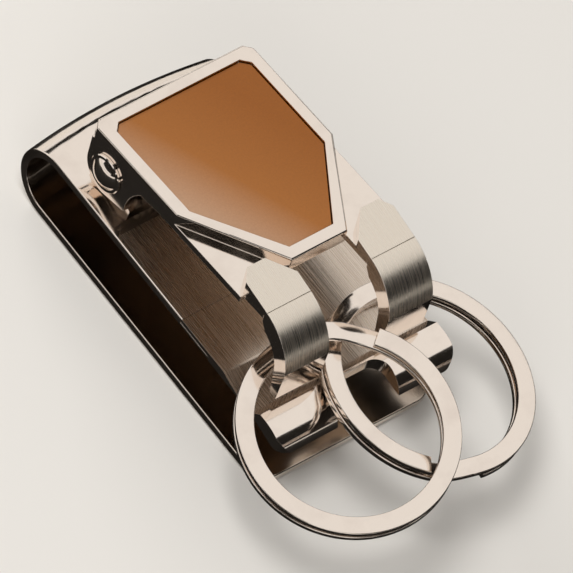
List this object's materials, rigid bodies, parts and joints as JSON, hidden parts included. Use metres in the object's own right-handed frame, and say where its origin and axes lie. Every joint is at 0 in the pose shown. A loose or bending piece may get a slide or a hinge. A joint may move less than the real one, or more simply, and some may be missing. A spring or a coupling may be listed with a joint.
{
  "type": "belt key clip",
  "caption": "Folded metal belt clip with a sprung inlaid lever whose hooks close over split key rings lying on a lipped rest.",
  "frame": {"origin": "centre of the back plate's flat outer face", "axes": "+Z from the back plate to the lever, +Y along the clip to its bend, +X along the lever's pin"},
  "size_m": [0.0458, 0.0741, 0.0256],
  "materials": {
    "strip_nickel": "polished nickel plate, finely brushed along the front",
    "polished_nickel": "polished warm nickel plate",
    "rivet_steel": "plated steel",
    "spring_steel": "drawn spring wire",
    "caramel_lacquer": "smooth caramel brown lacquer",
    "adhesive_film": "thin clear adhesive",
    "satin_nickel": "satin nickel, brushed along the strap, polished edges",
    "ring_nickel": "polished nickel plate on flat wire"
  },
  "bodies": {
    "clip": {"belt_clip": "strip_nickel", "ring_rest": "polished_nickel", "lap_rivets": "rivet_steel", "pivot_bracket": "strip_nickel", "bracket_rivets": "rivet_steel", "pivot_pin": "polished_nickel", "pin_cap": "polished_nickel", "torsion_spring": "spring_steel"},
    "lever": {"lever_frame": "polished_nickel", "inlay_panel": "caramel_lacquer", "inlay_adhesive": "adhesive_film", "left_hook": "satin_nickel", "right_hook": "satin_nickel", "hook_rivets": "rivet_steel"},
    "right_ring": {"right_ring": "ring_nickel"},
    "left_ring": {"left_ring": "ring_nickel"}
  },
  "joints": [
    {"name": "lever_hinge", "type": "hinge", "parent": "clip", "child": "lever", "pos_m": [0, 0.0175, 0.0167], "axis": [-1, 0, 0], "range_deg": [0, 15], "stiffness_Nm_per_rad": 0.02, "springref_deg": -57.3, "deforming": ["torsion_spring"]},
    {"name": "right_ring_swing", "type": "hinge", "parent": "clip", "child": "right_ring", "pos_m": [0, -0.0135, 0.0135], "axis": [-1, 0, 0], "range_deg": [0, 10]},
    {"name": "left_ring_swing", "type": "hinge", "parent": "right_ring", "child": "left_ring", "pos_m": [0, -0.0135, 0.0135], "axis": [-0.9853, -0.1707, 0], "range_deg": [0, 4]}
  ]
}
